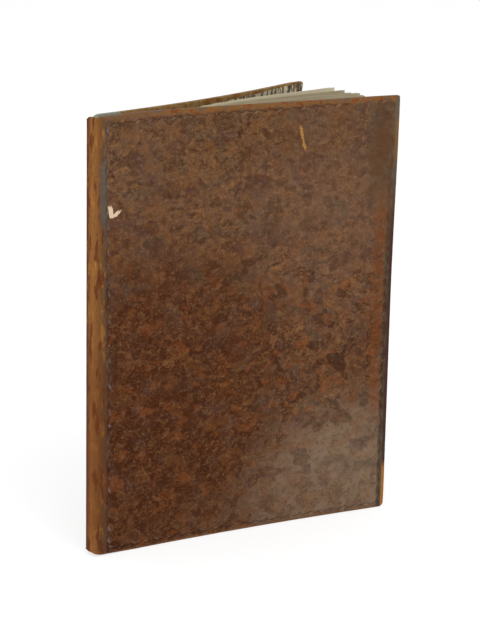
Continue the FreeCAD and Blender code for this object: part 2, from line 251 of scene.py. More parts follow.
def roundCorner(points, centre, half, signs, radius):
    # draws one square corner of the flat skin in to an arc
    along = (points[:, 0] - centre[0]) * signs[0] - (half[0] - radius)
    up = (points[:, 1] - centre[1]) * signs[1] - (half[1] - radius)
    inside = (along > 0) & (up > 0)
    pull = np.where(inside, np.maximum(along, up) / np.maximum(np.hypot(along, up), 1e-9), 1) - 1
    points[:, 0] += signs[0] * along * pull
    points[:, 1] += signs[1] * up * pull


wear = {
    "head": 0.2 * mm,            # worn off the spine's head, and off its rear corner there
    "headCorner": 1.9 * mm,
    "tail": 0.3 * mm,            # the same at the tail, and towards the middle of the back
    "tailBack": 1.3 * mm,
    "tailCorner": 1.0 * mm,
    "frontWarp": 1.9 * mm,
    "rearWarp": 1.0 * mm,
    "bentCorner": 1.9 * mm,
}


def worn(s, u):
    # how far the spine has worn down at its head and at its tail, most at its rear corner
    corner = smooth(0.5 * mm, 4.5 * mm, u) * (1 - smooth(5 * mm, 11 * mm, u))
    head = wear["head"] * smooth(1.5 * mm, -2 * mm, s) + wear["headCorner"] * corner
    tail = wear["tail"] * smooth(20 * mm, 2 * mm, s) + wear["tailBack"] * smooth(2.5 * mm, -4.5 * mm, s)
    return head, tail + wear["tailCorner"] * corner


def rearCorner(u):
    # 1 on the corner between the back and the rear joint
    return np.exp(-((u - 3.9 * mm) / (1.7 * mm)) ** 2)


def warped(name, s, z):
    # how far a board has warped inwards; the rear one also has its head corner bent in
    reach = (np.clip(s, 0, None) / book["width"]) ** 2
    if name == "front":
        return -wear["frontWarp"] * reach * smooth(105 * mm, book["height"], z)
    fromCorner = (book["width"] - s) + 0.9 * (book["height"] - z)
    return wear["bentCorner"] * smooth(18 * mm, 0, fromCorner) ** 2 - wear["rearWarp"] * reach


def makeSkin(name):
    # leather of one cover, its joint and half of the spine, in one piece
    cover = covers[name]
    rim = [(a * mm, b * mm) for a, b in skin["rim"]]
    start = -spineHalf - skin["overlap"]
    end = book["width"] + skin["proud"][name]
    columns, rows = skin["columns"], skin["rows"]
    across = [columns["spine"], columns["roll"], columns["field"], columns["roll"], columns["rim"]]
    upward = [rows["rim"], rows["roll"], rows["field"], rows["roll"], rows["rim"]]
    piece = addSheet(name + "Skin", sum(across), sum(upward), (0, 0), (1, 1))
    points = readPoints(piece)
    inner, outer = skin["rollZone"]
    inset = rim[0][0]
    width, height = book["width"], book["height"]
    points[:, 0] = crowd(points[:, 0], across,
                         [start + inset, inner, outer, width - outer, width - inner, end - inset])
    points[:, 1] = crowd(points[:, 1], upward,
                         [inset, inner, outer, height - outer, height - inner, height - inset])
    writePoints(piece, points)
    centre = ((start + end) / 2, height / 2)
    half = ((end - start) / 2, height / 2)
    board = skin["thickness"] - 0.25 * mm
    rings = rim + [(step * mm, skin["thickness"]) for step in skin["turnInSteps"]]
    rings += [(skin["turnIn"] + 0.15 * mm, board)]
    rings += [(skin["turnIn"] + share * (half[0] - skin["turnIn"]), board) for share in skin["underSteps"]]
    extrudeRim(piece, centre, half, rings)

    points = readPoints(piece)
    headCorner, tailCorner = skin["corners"][name]
    roundCorner(points, centre, half, (1, 1), headCorner)
    roundCorner(points, centre, half, (1, -1), tailCorner)
    s, z, depth = points.T.copy()
    u = cover["side"] * (s + spineHalf)
    edge = np.minimum.reduce([end - s, z, height - z])
    flat = np.column_stack([u, z, np.zeros(len(s))])
    scuffs = lumpy(flat, 3.2 * mm, 9.0, 2)
    # relief: broad cockling, soft lumps, a worn rim, and the roll pressed in
    onFace = smooth(skin["thickness"] * 0.35, skin["thickness"] * 0.2, depth)
    field = smooth(0.5 * mm, 6 * mm, s) * smooth(0, 6 * mm, edge)
    relief = skin["cockling"] * lumpy(flat, 38 * mm, 1.0) * field
    relief += skin["lumps"] * lumpy(flat, 6 * mm, 4.0, 3)
    relief += skin["scuffing"] * np.clip(scuffs, 0, 1) * smooth(1.6 * mm, 0.2 * mm, edge)
    lines = rollLines(s, z)
    pressed = np.maximum.reduce([np.exp(-(d / roll["width"]) ** 2) for d, phase in lines])
    raised = np.maximum.reduce([np.exp(-((d + 0.55 * mm) / (0.3 * mm)) ** 2) * np.clip(np.cos(phase), 0, 1)
                                for d, phase in lines])
    faded = smooth(100 * mm, 170 * mm, z) * smooth(width - 5 * mm, width - 4 * mm, s)
    strength = (0.8 + 0.4 * lumpy(flat, 11 * mm, 12.0)) * (1 - 0.7 * faded)
    relief += roll["depth"] * strength * (pressed - 0.45 * raised)
    thin = smooth(0.2 * mm, 1.5 * mm, s)
    depth = depth * (thin + (1 - thin) * skin["leather"] / skin["thickness"]) + onFace * relief
    nearHead, nearTail = skin["pinch"]
    depth = depth + onFace * rearCorner(u) * (nearTail + (nearHead - nearTail) * z / height)
    sunk, lifted = worn(s, u)
    z = z - sunk * smooth(height - 8 * mm, height, z) + lifted * smooth(12 * mm, 0, z)
    depth = depth + warped(name, s, z)
    top = height
    if name == "front":
        depth = depth + skin["tailCornerIn"] * smooth(9 * mm, 0, (end - s) + z)
        z = z + smooth(90 * mm, height, z) * (skin["raised"] * smooth(4 * mm, 22 * mm, s)
                                              + skin["raisedAtFore"] * smooth(110 * mm, width, s))
        top = height + skin["raised"] + skin["raisedAtFore"]
    placed = placeOnCover(cover, s, depth, z)
    placed[:, 2] = np.clip(placed[:, 2], 0, top)
    writePoints(piece, placed)

    keep(piece, "skinPlace", np.column_stack([u, z, points[:, 2]]))
    # painted shade in the roll's pressed line and painted highlights on its ridges, for the calf to read
    keep(piece, "rollShade", np.clip(pressed * strength, 0, 1) * onFace)
    keep(piece, "rollHighlight", np.clip(raised * strength, 0, 1) * onFace)
    fromRim = np.minimum.reduce([end - s, 1.6 * z, height - z])
    rubbed = smooth(2.3 * mm, 0.5 * mm, fromRim + 0.9 * mm * scuffs) * smooth(-0.5 * mm, 2.5 * mm, s)
    keep(piece, "rubbed", rubbed)
    # grey-green head of the rear joint and its turn-in, worn and made paler with painted sheen
    turned = smooth(0.1 * mm, 0.3 * mm, points[:, 2]) + smooth(height - 1.1 * mm, height - 0.7 * mm, z)
    greyedAndSheen = smooth(3.2 * mm, 4.2 * mm, u) * smooth(22.6 * mm, 22.2 * mm, u) * np.clip(turned, 0, 1)
    keep(piece, "greyedAndSheen", greyedAndSheen * smooth(height - 6 * mm, height - 5 * mm, z))
    smoothFaces(piece, 60)
    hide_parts(name + "_cover_leather")
    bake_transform(piece)
    print("skin:", name, len(piece.data.polygons), "faces")
    return piece


cap = {
    "height": 1.5 * mm,
    "inset": 0.25 * mm,
    "round": 0.5 * mm,
    "voxel": 0.2 * mm,
    "hollow": (0.3 * mm, 0.27 * mm),     # rubbed off its rear corner, in x and y
}


def makeCap(name, atHead):
    # leather turned over at the head or tail of the spine
    deselectAll()
    bpy.ops.mesh.primitive_cube_add(size=1)
    piece = bpy.context.object
    piece.name = name
    piece.data.name = name
    points = readPoints(piece)
    points[:, 0] = (points[:, 0] - 0.5) * (book["spineDepth"] - cap["inset"])
    points[:, 1] *= 2 * (book["joint"] - cap["inset"])
    points[:, 2] = points[:, 2] * cap["height"] + (book["height"] - cap["height"] / 2)
    writePoints(piece, points)
    backEdges = []
    for edge in piece.data.edges:
        a, b = (piece.data.vertices[i].co for i in edge.vertices)
        backEdges.append(abs(a.z - b.z) > 0.5 * cap["height"] and a.x < -1 * mm)
    bpy.ops.object.mode_set(mode="EDIT")
    bpy.ops.mesh.select_mode(type="EDGE")
    bpy.ops.mesh.select_all(action="DESELECT")
    bpy.ops.object.mode_set(mode="OBJECT")
    piece.data.edges.foreach_set("select", backEdges)
    bpy.ops.object.mode_set(mode="EDIT")
    bpy.ops.mesh.bevel(offset=book["spineCorner"] * 0.95, segments=8, affect="EDGES")
    bpy.ops.object.mode_set(mode="OBJECT")
    applyModifier(piece, "BEVEL", width=cap["round"], segments=3, limit_method="ANGLE")
    applyModifier(piece, "REMESH", mode="VOXEL", voxel_size=cap["voxel"])
    applyModifier(piece, "SMOOTH", factor=0.5, iterations=6)
    points = readPoints(piece)
    top = smooth(book["height"] - cap["height"], book["height"], points[:, 2])
    points[:, 2] += top * (0.10 * mm * lumpy(points, 1.6 * mm, 3.0, 2) - 0.05 * mm)
    x, y = points[:, 0].copy(), points[:, 1].copy()
    u = y + np.sign(y) * 0.9 * np.clip(x + 2.35 * mm, 0, 2.35 * mm)
    points[:, 2] -= worn(abs(u) - spineHalf, u)[0 if atHead else 1]
    points[:, 2] = np.minimum(points[:, 2], book["height"])
    points[:, 0] += cap["hollow"][0] * rearCorner(u)
    points[:, 1] -= cap["hollow"][1] * rearCorner(u)
    if not atHead:
        points[:, 2] = book["height"] - points[:, 2]
        piece.data.flip_normals()
    writePoints(piece, points)
    keep(piece, "skinPlace", np.column_stack([points[:, 1], points[:, 2], points[:, 0]]))
    for unused in ("rollShade", "rollHighlight", "rubbed"):
        keep(piece, unused, np.zeros(len(points)))
    # the head cap grey-green with painted sheen, the tail cap faintly
    keep(piece, "greyedAndSheen", np.full(len(points), 1.0 if atHead else 0.3))
    smoothFaces(piece, 60)
    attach(piece, "book_block")
    print("cap:", name)
    return piece


paste = {
    "from": 1.9 * mm,            # clear of the free endpaper when the cover closes
    "margin": 2.2 * mm,
    "rearHeadMargin": (3.0 * mm, 0.8 * mm),      # at the joint and at the fore-edge
    "depth": 2.5 * mm,
    "thickness": 0.15 * mm,
    "columns": 80,
    "rows": 96,
}


def makePastedown(name):
    # marbled sheet on the inside of a cover
    cover = covers[name]
    width, height = book["width"], book["height"]
    piece = addSheet(name + "MarbledPastedown", paste["columns"], paste["rows"],
                     (paste["from"], paste["margin"]), (width - paste["margin"], height - paste["margin"]))
    points = readPoints(piece)
    s, z = points[:, 0], points[:, 1]
    if name == "rear":
        nearJoint, nearFore = paste["rearHeadMargin"]
        margin = nearJoint + (nearFore - nearJoint) * smooth(0.3 * width, 0.97 * width, s)
        z = z + (paste["margin"] - margin) * smooth(0.8 * height, height - paste["margin"], z)
        s = s + (paste["margin"] - nearFore) * smooth(0.8 * width, width - paste["margin"], s)
    edge = np.minimum.reduce([width - s, z, height - z])
    rimward = smooth(paste["margin"] + 4 * mm, paste["margin"], edge)
    ragged = 0.25 * mm * lumpy(points, 9 * mm, 21.0 + cover["side"], 2) * rimward
    s = s - ragged
    z = z - ragged * np.sign(z - height / 2)
    s = s + skin["proud"][name] * smooth(0.9 * width, width - paste["margin"], s)
    ridge = np.exp(-((edge - skin["turnIn"]) / (0.8 * mm)) ** 2)
    depth = paste["depth"] - 0.05 * mm * ridge + 0.02 * mm * lumpy(points, 14 * mm, 25.0, 2)
    depth = depth + warped(name, s, z)
    keep(piece, "sheetPlace", np.column_stack([s, z, np.full(len(s), 0.05 * cover["side"])]))
    writePoints(piece, placeOnCover(cover, s, depth, z))
    applyModifier(piece, "SOLIDIFY", thickness=paste["thickness"], offset=cover["side"])
    smoothFaces(piece)
    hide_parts(name + "_pastedown")
    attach(piece, name + "_cover")
    print("pastedown:", name)
    return piece


board = {
    "from": 1.5 * mm,
    "setback": 2.4 * mm,
    "depth": (0.62 * mm, 2.08 * mm),
    "columns": 60,
    "rows": 70,
}


def makeBoard(name):
    # pasteboard inside the leather, warped with it
    cover = covers[name]
    piece = addSheet(name + "Pasteboard", board["columns"], board["rows"], (board["from"], board["setback"]),
                     (book["width"] - board["setback"], book["height"] - board["setback"]))
    s, z = readPoints(piece)[:, :2].T
    outer, inner = board["depth"]
    writePoints(piece, placeOnCover(cover, s, (outer + inner) / 2 + warped(name, s, z), z))
    applyModifier(piece, "SOLIDIFY", thickness=inner - outer, offset=0)
    smoothFaces(piece)
    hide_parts(name + "_board")
    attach(piece, name + "_cover")
    return piece


leaves = {
    "sheets": 3,                 # folded sheets in each gathering
    "gathering": 0.5 * mm,
    "thickness": 0.14 * mm,
    "tips": [-17.6, -14.2, -10.7, -5.2, -0.9, 6.5],       # mm, each gathering at the fore-edge
    "heads": [202.9, 203.2, 203.9, 203.5, 204.2, 204.7],
    "spread": 1.3 * mm,
    "gutter": 9.0 * mm,
    "fold": -1.62 * mm,
    "fanCurve": 1.28,
    "sunk": 2.3 * mm,            # the heads stand lower towards the spine
    "columns": 60,
    "rows": 24,
    "seed": 11,
}


def fanned(x, root, tip):
    # y of a leaf at x: flat in the gutter, then leaning over towards its tip
    share = np.clip((x - leaves["gutter"]) / (book["leafReach"] - leaves["gutter"]), 0, 1)
    return root + (tip - root) * share ** leaves["fanCurve"]


def sunkHead(x):
    return leaves["sunk"] * smooth(100 * mm, 35 * mm, x)


def makeGathering(number, chance):
    # folded sheets nested in one gathering, each leaf standing a little apart
    count = leaves["sheets"]
    middle = leaves["tips"][number] * mm
    head = leaves["heads"][number] * mm
    foot = book["leafFoot"]
    rootMiddle = (number + 0.5 - len(leaves["tips"]) / 2) * leaves["gathering"]
    made = []
    for sheetNumber in range(count):
        sheet = addSheet(f"gathering{number + 1}", leaves["columns"], leaves["rows"], (-1, foot), (1, head))
        points = readPoints(sheet)
        along, z = points[:, 0], points[:, 1]
        out = (count - sheetNumber - 0.5) / count
        frontHalf = along < 0
        perHalf = [np.where(frontHalf, chance.uniform(*span), chance.uniform(*span))
                   for span in ((0.6, 1.25), (0, 1.2), (-1, 1), (-0.5, 0.1))]
        spread, short, lean, lift = perHalf
        side = np.where(frontHalf, -1, 1)
        root = rootMiddle + side * out * leaves["gathering"] * 0.46
        tip = middle + side * out * leaves["spread"] * spread
        fold = leaves["fold"] + (1 - out) * 0.25 * mm
        far = abs(along) ** 1.15
        x = fold + far * (book["leafReach"] - short * mm - fold)
        up = (z - foot) / (head - foot)
        wave = np.sin(up * math.pi * 1.5 + number + sheetNumber) * 0.2 * mm
        y = fanned(x, root, tip) + far ** 2 * (wave + lean * (up - 0.5) * 0.4 * mm)
        y = rootMiddle + (y - rootMiddle) * smooth(0, 0.03, abs(along))
        frayed = lumpy(np.column_stack([x, y, z]), 6 * mm, 30.0 + number, 2)
        z = z + (up - 0.5) * 2 * lift * mm + frayed * 0.12 * mm * smooth(0.49, 0.5, abs(up - 0.5))
        x = x + frayed * 0.25 * mm * smooth(0.97, 1, abs(along))
        z = z - sunkHead(x) * smooth(0.5, 1, up)
        writePoints(sheet, np.column_stack([x, y, z]))
        keep(sheet, "sheetPlace", np.column_stack([x, z, 0 * x + number * 0.31 + sheetNumber * 0.07]))
        applyModifier(sheet, "SOLIDIFY", thickness=leaves["thickness"], offset=0)
        made.append(sheet)
    deselectAll()
    for sheet in made:
        sheet.select_set(True)
    bpy.context.view_layer.objects.active = made[0]
    bpy.ops.object.join()
    piece = bpy.context.object
    smoothFaces(piece)
    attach(piece, "book_block")
    return piece


endpaper = {
    "columns": 50,
    "rows": 24,
    "from": 0.9 * mm,
    "short": 0.8 * mm,           # of the leaves' fore-edge
    "foot": 0.3 * mm,
    "lower": 1.2 * mm,           # than the nearest leaves' head
    "root": 1.6 * mm,
    "apart": 2.3 * mm,           # from the nearest leaves at the fore-edge
}


def makeFreeEndpaper(name):
    # single marbled leaf before the first gathering or after the last
    side = covers[name]["side"]
    tip = side * leaves["tips"][0 if side < 0 else -1] * mm + endpaper["apart"]
    head = leaves["heads"][0 if side < 0 else -1] * mm
    piece = addSheet(name + "FreeEndpaper", endpaper["columns"], endpaper["rows"],
                     (endpaper["from"], book["leafFoot"] + endpaper["foot"]),
                     (book["leafReach"] - endpaper["short"], head - endpaper["lower"]))
    points = readPoints(piece)
    x, z = points[:, 0].copy(), points[:, 1].copy()
    y = fanned(x, endpaper["root"], tip)
    z = z - sunkHead(x) * smooth(0.5 * book["height"], head, z)
    keep(piece, "sheetPlace", np.column_stack([x, z, 0 * x + 0.4 + 0.1 * side]))
    writePoints(piece, np.column_stack([x, side * y, z]))
    applyModifier(piece, "SOLIDIFY", thickness=paste["thickness"], offset=0)
    smoothFaces(piece)
    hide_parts(name + "_free_endpaper")
    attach(piece, "book_block")
    return piece


# materials
def linear(hexColour):
    parts = [int(hexColour[i:i + 2], 16) / 255 for i in (1, 3, 5)]
    return tuple(p / 12.92 if p <= 0.04045 else ((p + 0.055) / 1.055) ** 2.4 for p in parts) + (1,)


def newMaterial(name):
    material = bpy.data.materials.new(name)
    material.use_nodes = True
    return material, material.node_tree, material.node_tree.nodes["Principled BSDF"]


def feed(tree, socket, value):
    if isinstance(value, bpy.types.NodeSocket):
        tree.links.new(value, socket)
    elif isinstance(value, str):
        socket.default_value = linear(value)
    else:
        socket.default_value = value


def addNode(tree, kind, settings=(), **inputs):
    node = tree.nodes.new(kind)
    for key, value in dict(settings).items():
        setattr(node, key, value)
    for key, value in inputs.items():
        feed(tree, node.inputs[key], value)
    return node


def readAttribute(tree, name, output="Fac"):
    return addNode(tree, "ShaderNodeAttribute", {"attribute_name": name}).outputs[output]


def maths(tree, operation, *values):
    node = addNode(tree, "ShaderNodeMath", {"operation": operation})
    for socket, value in zip(node.inputs, values):
        feed(tree, socket, value)
    return node.outputs[0]


def plus(tree, first, second):
    return maths(tree, "ADD", first, second)


def minus(tree, first, second):
    return maths(tree, "SUBTRACT", first, second)


def times(tree, *values):
    product = values[0]
    for value in values[1:]:
        product = maths(tree, "MULTIPLY", product, value)
    return product


def vectorMaths(tree, operation, first, second):
    node = addNode(tree, "ShaderNodeVectorMath", {"operation": operation})
    feed(tree, node.inputs[0], first)
    feed(tree, node.inputs[1], second)
    return node.outputs[0]


def addNoise(tree, vector, size, detail=3.0, rough=0.55, seed=0.0):
    place = vectorMaths(tree, "ADD", vector, (seed, 0.7 * seed, 0)) if seed else vector
    return addNode(tree, "ShaderNodeTexNoise", Vector=place, Scale=1 / size, Detail=detail,
                   Roughness=rough).outputs["Fac"]


def warp(tree, vector, size, amount, seed=0.0):
    # pushes a pattern about, so that its blots curl
    place = vectorMaths(tree, "ADD", vector, (seed, 0, seed))
    pushed = addNode(tree, "ShaderNodeTexNoise", Vector=place, Scale=1 / size, Detail=2.0)
    centred = vectorMaths(tree, "SUBTRACT", pushed.outputs["Color"], (0.5, 0.5, 0.5))
    return vectorMaths(tree, "ADD", vector, stretch(tree, centred, (amount,) * 3))


def step(tree, value, low, high):
    # 0 before low and 1 after high, smoothly
    node = addNode(tree, "ShaderNodeMapRange", {"interpolation_type": "SMOOTHSTEP"}, Value=value)
    feed(tree, node.inputs["From Min"], low)
    feed(tree, node.inputs["From Max"], high)
    return node.outputs[0]


def cutNoise(tree, low, high, *pattern):
    # patches of noise, 0 under low and 1 over high
    return step(tree, addNoise(tree, *pattern), low, high)


def shake(tree, width, *pattern):
    # noise about 0, as wide as this
    return times(tree, minus(tree, addNoise(tree, *pattern), 0.5), width)


def stretch(tree, vector, factors):
    return vectorMaths(tree, "MULTIPLY", vector, factors)


def ramp(tree, value, stops):
    node = addNode(tree, "ShaderNodeValToRGB", Fac=value)
    line = node.color_ramp
    while len(line.elements) < len(stops):
        line.elements.new(0.5)
    for element, (position, colour) in zip(line.elements, stops):
        element.position = position
        element.color = linear(colour)
    return node.outputs["Color"]


def mix(tree, amount, first, second):
    node = addNode(tree, "ShaderNodeMix", {"data_type": "RGBA", "clamp_factor": True})
    feed(tree, node.inputs[0], amount)
    feed(tree, node.inputs[6], first)
    feed(tree, node.inputs[7], second)
    return node.outputs[2]


def paint(tree, shader, colour, roughness):
    feed(tree, shader.inputs["Base Color"], colour)
    feed(tree, shader.inputs["Roughness"], roughness)


def coat(tree, colour, tone, *strength):
    # lays a tone over a colour, as strong as the product of what follows
    return mix(tree, times(tree, *strength), colour, tone)


def bump(tree, shader, height, strength, distance):
    node = addNode(tree, "ShaderNodeBump", Height=height, Strength=strength, Distance=distance)
    feed(tree, shader.inputs["Normal"], node.outputs["Normal"])


def blot(tree, u, z, centre, radii):
    # soft round area of a cover, in mm, 1 in its middle; on the front cover u is below 0
    across = maths(tree, "DIVIDE", minus(tree, u, centre[0] * mm), radii[0] * mm)
    upward = maths(tree, "DIVIDE", minus(tree, z, centre[1] * mm), radii[1] * mm)
    squares = plus(tree, times(tree, across, across), times(tree, upward, upward))
    return step(tree, squares, 1.0, 0.0)


def curl(tree, field, middle, width):
    # thin line that follows one level of a noise field
    aside = maths(tree, "ABSOLUTE", minus(tree, field, middle))
    return step(tree, aside, width, 0.0)


# the calf's colour is built in coats, each a colour, how strong it is and where it lies
calf = {
    "ground": "#583722",
    "upper": "#674831",
    # large soft areas: centre and radii in mm, strength, tone; the pale grey one low by the fore-edge of the
    # front cover is painted sheen
    "areas": [((-34, 62), (72, 92), 0.95, "#3e1c07"), ((-70, 95), (62, 52), 0.55, "#4e2a11"),
              ((-152, 2), (88, 74), 0.95, "#816d58"), ((-95, 4), (80, 24), 0.5, "#684c36"),
              ((-130, 145), (55, 66), 0.6, "#70513d"), ((-70, 190), (90, 22), 0.5, "#604024"),
              ((-24, 186), (26, 30), 0.4, "#654b39"), ((60, 120), (80, 70), 0.6, "#512e16"),
              ((130, 40), (60, 60), 0.5, "#725a46")],
    # the nick's two tears: from the joint, foot, slant, width and height
    "nicks": [(5.9, 158.8, -0.2, 1.25, 6.4), (6.6, 159.2, 1.05, 1.4, 3.6)],
    "scratch": (105.2, 190, -0.26),      # place from the joint, middle height and slant
    # tan across the spine, with painted shade darkest at its rear corner and towards the joints, and painted
    # light on the back
    "spine": [(0.00, "#431c0a"), (0.12, "#592a10"), (0.23, "#7a471e"), (0.34, "#8d5c2b"), (0.46, "#8f5f30"),
              (0.58, "#85562c"), (0.70, "#794f2b"), (0.84, "#674728"), (1.00, "#583f2b")],
    "roughness": 0.46,
    "shine": 0.07,
}


def makeCalf():
    material, tree, shader = newMaterial("mottledCalf")
    place = readAttribute(tree, "skinPlace", "Vector")
    rubbed, greyedAndSheen, rollShade, rollHighlight = (
        readAttribute(tree, name) for name in ("rubbed", "greyedAndSheen", "rollShade", "rollHighlight"))
    parts = addNode(tree, "ShaderNodeSeparateXYZ", Vector=place)
    u, z = parts.outputs[:2]
    s = minus(tree, maths(tree, "ABSOLUTE", u), spineHalf)
    front = step(tree, u, 0.2 * mm, -0.2 * mm)
    drawn = stretch(tree, place, (0.8, 1, 1))
    curled = warp(tree, warp(tree, drawn, 8 * mm, 8 * mm, 1.0), 2.6 * mm, 2.2 * mm, 2.0)
    broken = cutNoise(tree, 0.3, 0.62, place, 26 * mm, 3.0, 0.55)
    busy = cutNoise(tree, 0.35, 0.6, place, 20 * mm, 2.0, 0.5, 14.0)

    # ground, from the smoother upper half down to the lower fore-edge corner, which is made pale grey with
    # painted sheen
    colour = mix(tree, step(tree, z, 85 * mm, 165 * mm), calf["ground"], calf["upper"])
    for centre, radii, amount, tone in calf["areas"]:
        colour = coat(tree, colour, tone, blot(tree, u, z, centre, radii), amount)
    # lilac patches of painted sheen low by the fore-edge of the front cover, with fewer slate patches under
    # it
    lilac = cutNoise(tree, 0.42, 0.62, place, 9 * mm, 3.0, 0.6, 17.0)
    sheenArea = blot(tree, u, z, (-140, 6), (76, 62))
    colour = coat(tree, colour, "#8b7365", sheenArea, lilac, 0.4)
    slate = cutNoise(tree, 0.50, 0.66, place, 15 * mm, 3.0, 0.6, 29.0)
    slateAmount = minus(tree, 0.4, times(tree, sheenArea, 0.25))
    colour = coat(tree, colour, "#57483e", slate, slateAmount)
    ground = colour
    warm = minus(tree, 1.0, times(tree, blot(tree, u, z, (-34, 55), (80, 100)), 0.75))
    calm = minus(tree, 1.0, times(tree, step(tree, z, 90 * mm, 150 * mm), 0.4))

    # mottling: dark blots with crisp sides, their paler outlines, then curls of tan and orange
    blots = addNoise(tree, curled, 7.5 * mm, 3.0, 0.5)
    colour = coat(tree, colour, "#381c0c", step(tree, blots, 0.51, 0.565), calm, 0.66)
    colour = coat(tree, colour, "#835b3c", curl(tree, blots, 0.496, 0.02), broken, 0.62)
    tanBlots = addNoise(tree, curled, 9 * mm, 3.0, 0.55, 3.0)
    colour = coat(tree, colour, "#744b29", step(tree, tanBlots, 0.54, 0.60), 0.40)
    ashen = addNoise(tree, curled, 11 * mm, 3.0, 0.55, 5.0)
    colour = coat(tree, colour, "#4a4031", step(tree, ashen, 0.54, 0.64), warm, 0.42)
    orange = addNoise(tree, curled, 7 * mm, 4.0, 0.6, 7.0)
    # less orange under the painted sheen and on the rear cover
    glow = minus(tree, 0.62, times(tree, blot(tree, u, z, (-150, 4), (86, 74)), 0.4))
    glow = minus(tree, glow, times(tree, minus(tree, 1.0, front), 0.25))
    sparse = minus(tree, 1.0, times(tree, step(tree, z, 95 * mm, 150 * mm), 0.7))
    colour = coat(tree, colour, "#7b4521", step(tree, orange, 0.54, 0.62), glow, sparse)
    colour = coat(tree, colour, "#8d5f34", curl(tree, orange, 0.45, 0.02), busy, 0.5)
    violet = addNoise(tree, curled, 13 * mm, 3.0, 0.5, 9.0)
    colour = coat(tree, colour, "#50352d", step(tree, violet, 0.53, 0.64), warm, 0.5)
    fine = addNoise(tree, curled, 2.4 * mm, 4.0, 0.65, 11.0)
    colour = coat(tree, colour, "#3a2012", step(tree, fine, 0.54, 0.62), busy, 0.62)
    colour = coat(tree, colour, "#8c6238", step(tree, fine, 0.44, 0.36), busy, 0.48)
    # the mottling is fainter under the painted sheen low by the fore-edge and in the smoother upper corner
    sheenAndSmoothness = times(tree, blot(tree, u, z, (-150, 4), (86, 72)), 0.45)
    sheenAndSmoothness = plus(tree, sheenAndSmoothness, times(tree, blot(tree, u, z, (-135, 170), (46, 60)), 0.35))
    colour = mix(tree, sheenAndSmoothness, colour, ground)
    dapple = addNoise(tree, place, 3.2 * mm, 4.0, 0.7, 31.0)
    colour = coat(tree, colour, "#331b0e", step(tree, dapple, 0.50, 0.64), 0.24)
    colour = coat(tree, colour, "#927058", step(tree, dapple, 0.48, 0.36), 0.2)
    flecks = addNoise(tree, place, 1.3 * mm, 3.0, 0.7, 2.0)
    colour = coat(tree, colour, "#27130a", step(tree, flecks, 0.60, 0.70), 0.62)
    colour = coat(tree, colour, "#947552", step(tree, flecks, 0.41, 0.33), 0.5)

    glaze = times(tree, blot(tree, u, z, (-30, 60), (95, 125)), 0.3)
    colour = mix(tree, glaze, colour, "#4c2003")

    # olive and brown bands down the fore-edge of the front cover
    wander = shake(tree, 5 * mm, place, 9 * mm, 3.0)
    ragged = plus(tree, s, wander)
    headward = times(tree, front, step(tree, z, 148 * mm, 168 * mm))
    band = times(tree, step(tree, ragged, 140 * mm, 143.5 * mm), headward)
    patchy = addNoise(tree, curled, 8 * mm, 4.0, 0.6, 15.0)
    olive = mix(tree, step(tree, patchy, 0.3, 0.66), "#4d3523", "#5c4e3b")
    colour = coat(tree, colour, olive, band, 0.55)
    brownish = times(tree, band, step(tree, z, 196 * mm, 188 * mm), step(tree, patchy, 0.62, 0.45))
    colour = coat(tree, colour, "#5a3b24", brownish, 0.5)
    middle = times(tree, front, step(tree, z, 40 * mm, 55 * mm), step(tree, z, 165 * mm, 145 * mm))
    band = times(tree, step(tree, ragged, 145 * mm, 148 * mm), middle)
    streaky = cutNoise(tree, 0.3, 0.62, curled, 6 * mm, 4.0, 0.65, 19.0)
    colour = coat(tree, colour, "#774320", band, streaky, 0.55)
    edging = times(tree, front, step(tree, s, 152.2 * mm, 153.4 * mm), step(tree, z, 190 * mm, 120 * mm))
    greenish = mix(tree, cutNoise(tree, 0.4, 0.6, place, 5 * mm, 3.0, 0.6, 4.0), "#32291d", "#4b4637")
    colour = coat(tree, colour, greenish, edging, 0.72)
    corner = times(tree, front, step(tree, ragged, 153.6 * mm, 156.2 * mm), step(tree, z, 140 * mm, 170 * mm))
    colour = coat(tree, colour, "#625d4b", corner, 0.6)
    rusty = times(tree, front, step(tree, s, 155.2 * mm, 155.9 * mm), step(tree, z, 172 * mm, 178 * mm),
                  step(tree, z, 198 * mm, 193 * mm))
    colour = coat(tree, colour, "#80552a", rusty, 0.7)
    outermost = step(tree, s, 155.0 * mm, 155.9 * mm)
    purplish = mix(tree, step(tree, z, 25 * mm, 19 * mm), "#452b26", "#a06a34")
    colour = coat(tree, colour, purplish, outermost, edging, 0.9)

    # spine and joint, rubbed to tan and streaked along their length, with painted light and shade across
    # them: darkest at the rear corner of the back, brightest on the back and darker towards the joints
    position = maths(tree, "DIVIDE", minus(tree, 3.9 * mm, u), 13.0 * mm)
    mirrored = maths(tree, "DIVIDE", minus(tree, u, 3.0 * mm), 7.5 * mm)
    position = maths(tree, "MAXIMUM", position, mirrored)
    streaks = shake(tree, 0.34, stretch(tree, place, (1, 0.12, 1)), 1.3 * mm, 4.0, 0.65)
    tan = ramp(tree, plus(tree, position, streaks), calf["spine"])
    golden = cutNoise(tree, 0.52, 0.66, stretch(tree, place, (1, 0.3, 1)), 3 * mm, 4.0, 0.65, 6.0)
    tan = coat(tree, tan, "#a97433", golden, 0.6)
    reddish = cutNoise(tree, 0.54, 0.60, stretch(tree, place, (1, 0.22, 1)), 3.4 * mm, 4.0, 0.6, 8.0)
    tan = coat(tree, tan, "#5a260e", reddish, 0.75)
    grimy = cutNoise(tree, 0.55, 0.68, place, 1.4 * mm, 4.0, 0.7, 10.0)
    tan = coat(tree, tan, "#4e2c16", grimy, 0.5)
    speckled = cutNoise(tree, 0.56, 0.70, place, 0.7 * mm, 3.0, 0.7, 21.0)
    tan = coat(tree, tan, "#43200d", speckled, 0.55)
    lowDark = times(tree, step(tree, z, 120 * mm, 75 * mm), step(tree, z, 4 * mm, 18 * mm), 0.42)
    tan = mix(tree, lowDark, tan, "#5f2e10")
    drift = times(tree, step(tree, z, 190 * mm, 70 * mm), roll["jointDrift"])
    fromSpine = minus(tree, s, drift)
    sway = shake(tree, 1.6 * mm, place, 4 * mm, 3.0, 0.6, 23.0)
